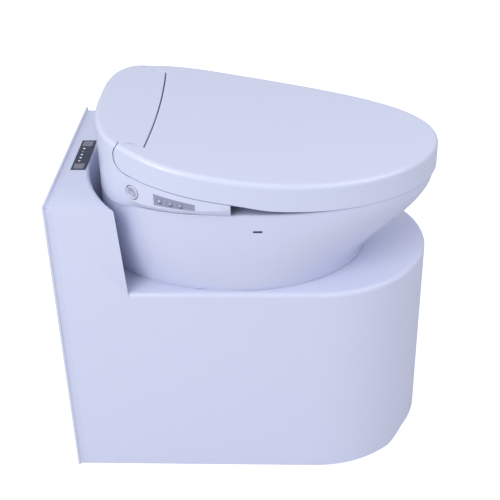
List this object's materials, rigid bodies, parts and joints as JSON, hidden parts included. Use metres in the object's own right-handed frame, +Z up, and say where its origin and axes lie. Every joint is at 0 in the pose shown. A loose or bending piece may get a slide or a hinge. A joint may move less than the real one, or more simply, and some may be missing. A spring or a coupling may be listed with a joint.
{
  "type": "composting toilet",
  "caption": "Composting toilet with a round-fronted cabinet, lifting seat and lid, side controls, motor-driven mixing chamber, extractor fan and a compost drawer.",
  "frame": {"origin": "centre of the bounding box's underside, on the floor", "axes": "+Z up, -Y towards the front of the toilet, +X towards the seated user's left"},
  "size_m": [0.396, 0.603, 0.5844],
  "materials": {
    "shell_white": "satin gloss, cool white",
    "bowl_white": "satin gloss, cool white",
    "seat_white": "satin gloss, cool white",
    "panel_grey": "fine matt, mid grey",
    "key_white": "satin",
    "display_black": "polished, very dark grey",
    "window_grey": "polished, dark grey",
    "light_white": "frosted",
    "inner_grey": "moulded, matt",
    "duct_black": "moulded, matt",
    "pad_rubber": "matt",
    "bumper_rubber": "matt, pale grey",
    "steel": "stainless sheet",
    "zinc_steel": "zinc plated",
    "bronze": "sintered bronze",
    "gear_plastic": "natural nylon",
    "heater_orange": "silicone",
    "board_green": "solder mask"
  },
  "bodies": {
    "cabinet": {"cabinet_shell": "shell_white", "base_pan": "inner_grey", "foot_pads": "pad_rubber", "rear_panel": "shell_white", "rear_panel_screws": "zinc_steel", "vent_outlet": "inner_grey", "power_inlet": "duct_black", "display_panel": "display_black", "display_windows": "window_grey", "indicator_lights": "light_white", "control_board": "board_green", "bowl": "bowl_white", "bowl_gasket": "bumper_rubber", "bowl_bolts": "zinc_steel", "seat_base": "shell_white", "seat_base_bolts": "zinc_steel", "housing_cover": "seat_white", "hinge_dampers": "inner_grey", "hinge_pins": "steel", "button_bezel": "seat_white", "key_strip": "panel_grey", "wing_board": "board_green", "nozzle_guide": "inner_grey", "compost_chamber": "steel", "chamber_cover": "inner_grey", "heater_pads": "heater_orange", "mixer_bearings": "bronze", "gear_motor": "zinc_steel", "motor_bracket": "zinc_steel", "shutter_frame": "inner_grey", "drawer_runners": "inner_grey", "fan_frame": "duct_black", "vent_duct": "inner_grey"},
    "seat": {"seat_ring": "seat_white", "seat_bumpers": "bumper_rubber"},
    "lid": {"lid": "seat_white", "lid_bumpers": "bumper_rubber"},
    "flush_button": {"flush_button": "key_white"},
    "key_rear": {"key_rear": "key_white"},
    "key_middle": {"key_middle": "key_white"},
    "key_front": {"key_front": "key_white"},
    "wash_nozzle": {"wash_nozzle": "key_white"},
    "mixer": {"mixer_shaft": "steel", "mixer_paddles": "steel", "drive_gear": "gear_plastic"},
    "pinion": {"drive_pinion": "gear_plastic", "pinion_shaft": "steel"},
    "shutter": {"shutter_plate": "steel"},
    "drawer": {"compost_drawer": "inner_grey", "drawer_front": "shell_white"},
    "fan": {"fan_impeller": "duct_black"}
  },
  "joints": [
    {"name": "seat_hinge", "type": "hinge", "parent": "cabinet", "child": "seat", "pos_m": [0, 0.143, 0.552], "axis": [1, 0, 0], "range_deg": [-95, 0]},
    {"name": "lid_hinge", "type": "hinge", "parent": "seat", "child": "lid", "pos_m": [0, 0.143, 0.552], "axis": [-1, 0, 0], "range_deg": [0, 98]},
    {"name": "button_press", "type": "slide", "parent": "cabinet", "child": "flush_button", "axis": [0.8237, -0.567, 0], "range_m": [0, 0.002], "stiffness_N_per_m": 300, "springref_m": -0.002},
    {"name": "key_rear_press", "type": "slide", "parent": "cabinet", "child": "key_rear", "axis": [0.9535, -0.3014, 0], "range_m": [0, 0.0008], "stiffness_N_per_m": 300, "springref_m": -0.002},
    {"name": "key_middle_press", "type": "slide", "parent": "cabinet", "child": "key_middle", "axis": [0.9755, -0.2202, 0], "range_m": [0, 0.0008], "stiffness_N_per_m": 300, "springref_m": -0.002},
    {"name": "key_front_press", "type": "slide", "parent": "cabinet", "child": "key_front", "axis": [0.988, -0.1543, 0], "range_m": [0, 0.0008], "stiffness_N_per_m": 300, "springref_m": -0.002},
    {"name": "nozzle_slide", "type": "slide", "parent": "cabinet", "child": "wash_nozzle", "axis": [0, -0.9063, -0.4226], "range_m": [0, 0.088]},
    {"name": "mixer_spin", "type": "hinge", "parent": "cabinet", "child": "mixer", "pos_m": [0, 0.1965, 0.2], "axis": [0, 1, 0], "continuous": true},
    {"name": "pinion_spin", "type": "hinge", "parent": "cabinet", "child": "pinion", "pos_m": [-0.06304, 0.2255, 0.15075], "axis": [0, 1, 0], "continuous": true},
    {"name": "shutter_slide", "type": "slide", "parent": "cabinet", "child": "shutter", "axis": [0, 1, 0], "range_m": [0, 0.134]},
    {"name": "drawer_slide", "type": "slide", "parent": "cabinet", "child": "drawer", "axis": [1, 0, 0], "range_m": [0, 0.26]},
    {"name": "fan_spin", "type": "hinge", "parent": "cabinet", "child": "fan", "pos_m": [0, 0.2535, 0.388], "axis": [0, 1, 0], "continuous": true}
  ],
  "couplings": [
    {"joint": "pinion_spin", "follows": "mixer_spin", "ratio": -3}
  ]
}
